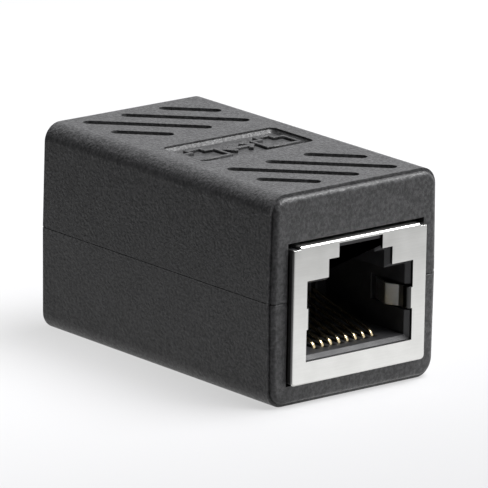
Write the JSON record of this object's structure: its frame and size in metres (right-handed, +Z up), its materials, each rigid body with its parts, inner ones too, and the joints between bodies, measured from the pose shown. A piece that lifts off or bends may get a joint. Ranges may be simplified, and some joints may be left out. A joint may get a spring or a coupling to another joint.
{
  "type": "rj45 inline coupler",
  "caption": "Inline coupler block with a shielded modular jack in each end, joining two network patch cords.",
  "frame": {"origin": "middle of the underside, on the surface that the coupler stands on", "axes": "+Z up, Y along the length with the front jack facing -Y and the rear jack facing +Y, X across the width"},
  "size_m": [0.0205, 0.0364, 0.0205],
  "materials": {
    "housing": "spark-eroded texture on black ABS",
    "shield": "nickel-plated folded steel",
    "insulator": "moulded black PBT",
    "contact": "gold-plated phosphor bronze",
    "board": "green solder mask on glass epoxy"
  },
  "bodies": {
    "root": {"top_cover": "housing", "bottom_cover": "housing", "circuit_board": "board", "front_shield": "shield", "front_jack_body": "insulator", "front_contact_carrier": "insulator", "front_contact_1": "contact", "front_contact_2": "contact", "front_contact_3": "contact", "front_contact_4": "contact", "front_contact_5": "contact", "front_contact_6": "contact", "front_contact_7": "contact", "front_contact_8": "contact", "rear_shield": "shield", "rear_jack_body": "insulator", "rear_contact_carrier": "insulator", "rear_contact_1": "contact", "rear_contact_2": "contact", "rear_contact_3": "contact", "rear_contact_4": "contact", "rear_contact_5": "contact", "rear_contact_6": "contact", "rear_contact_7": "contact", "rear_contact_8": "contact"}
  },
  "joints": []
}
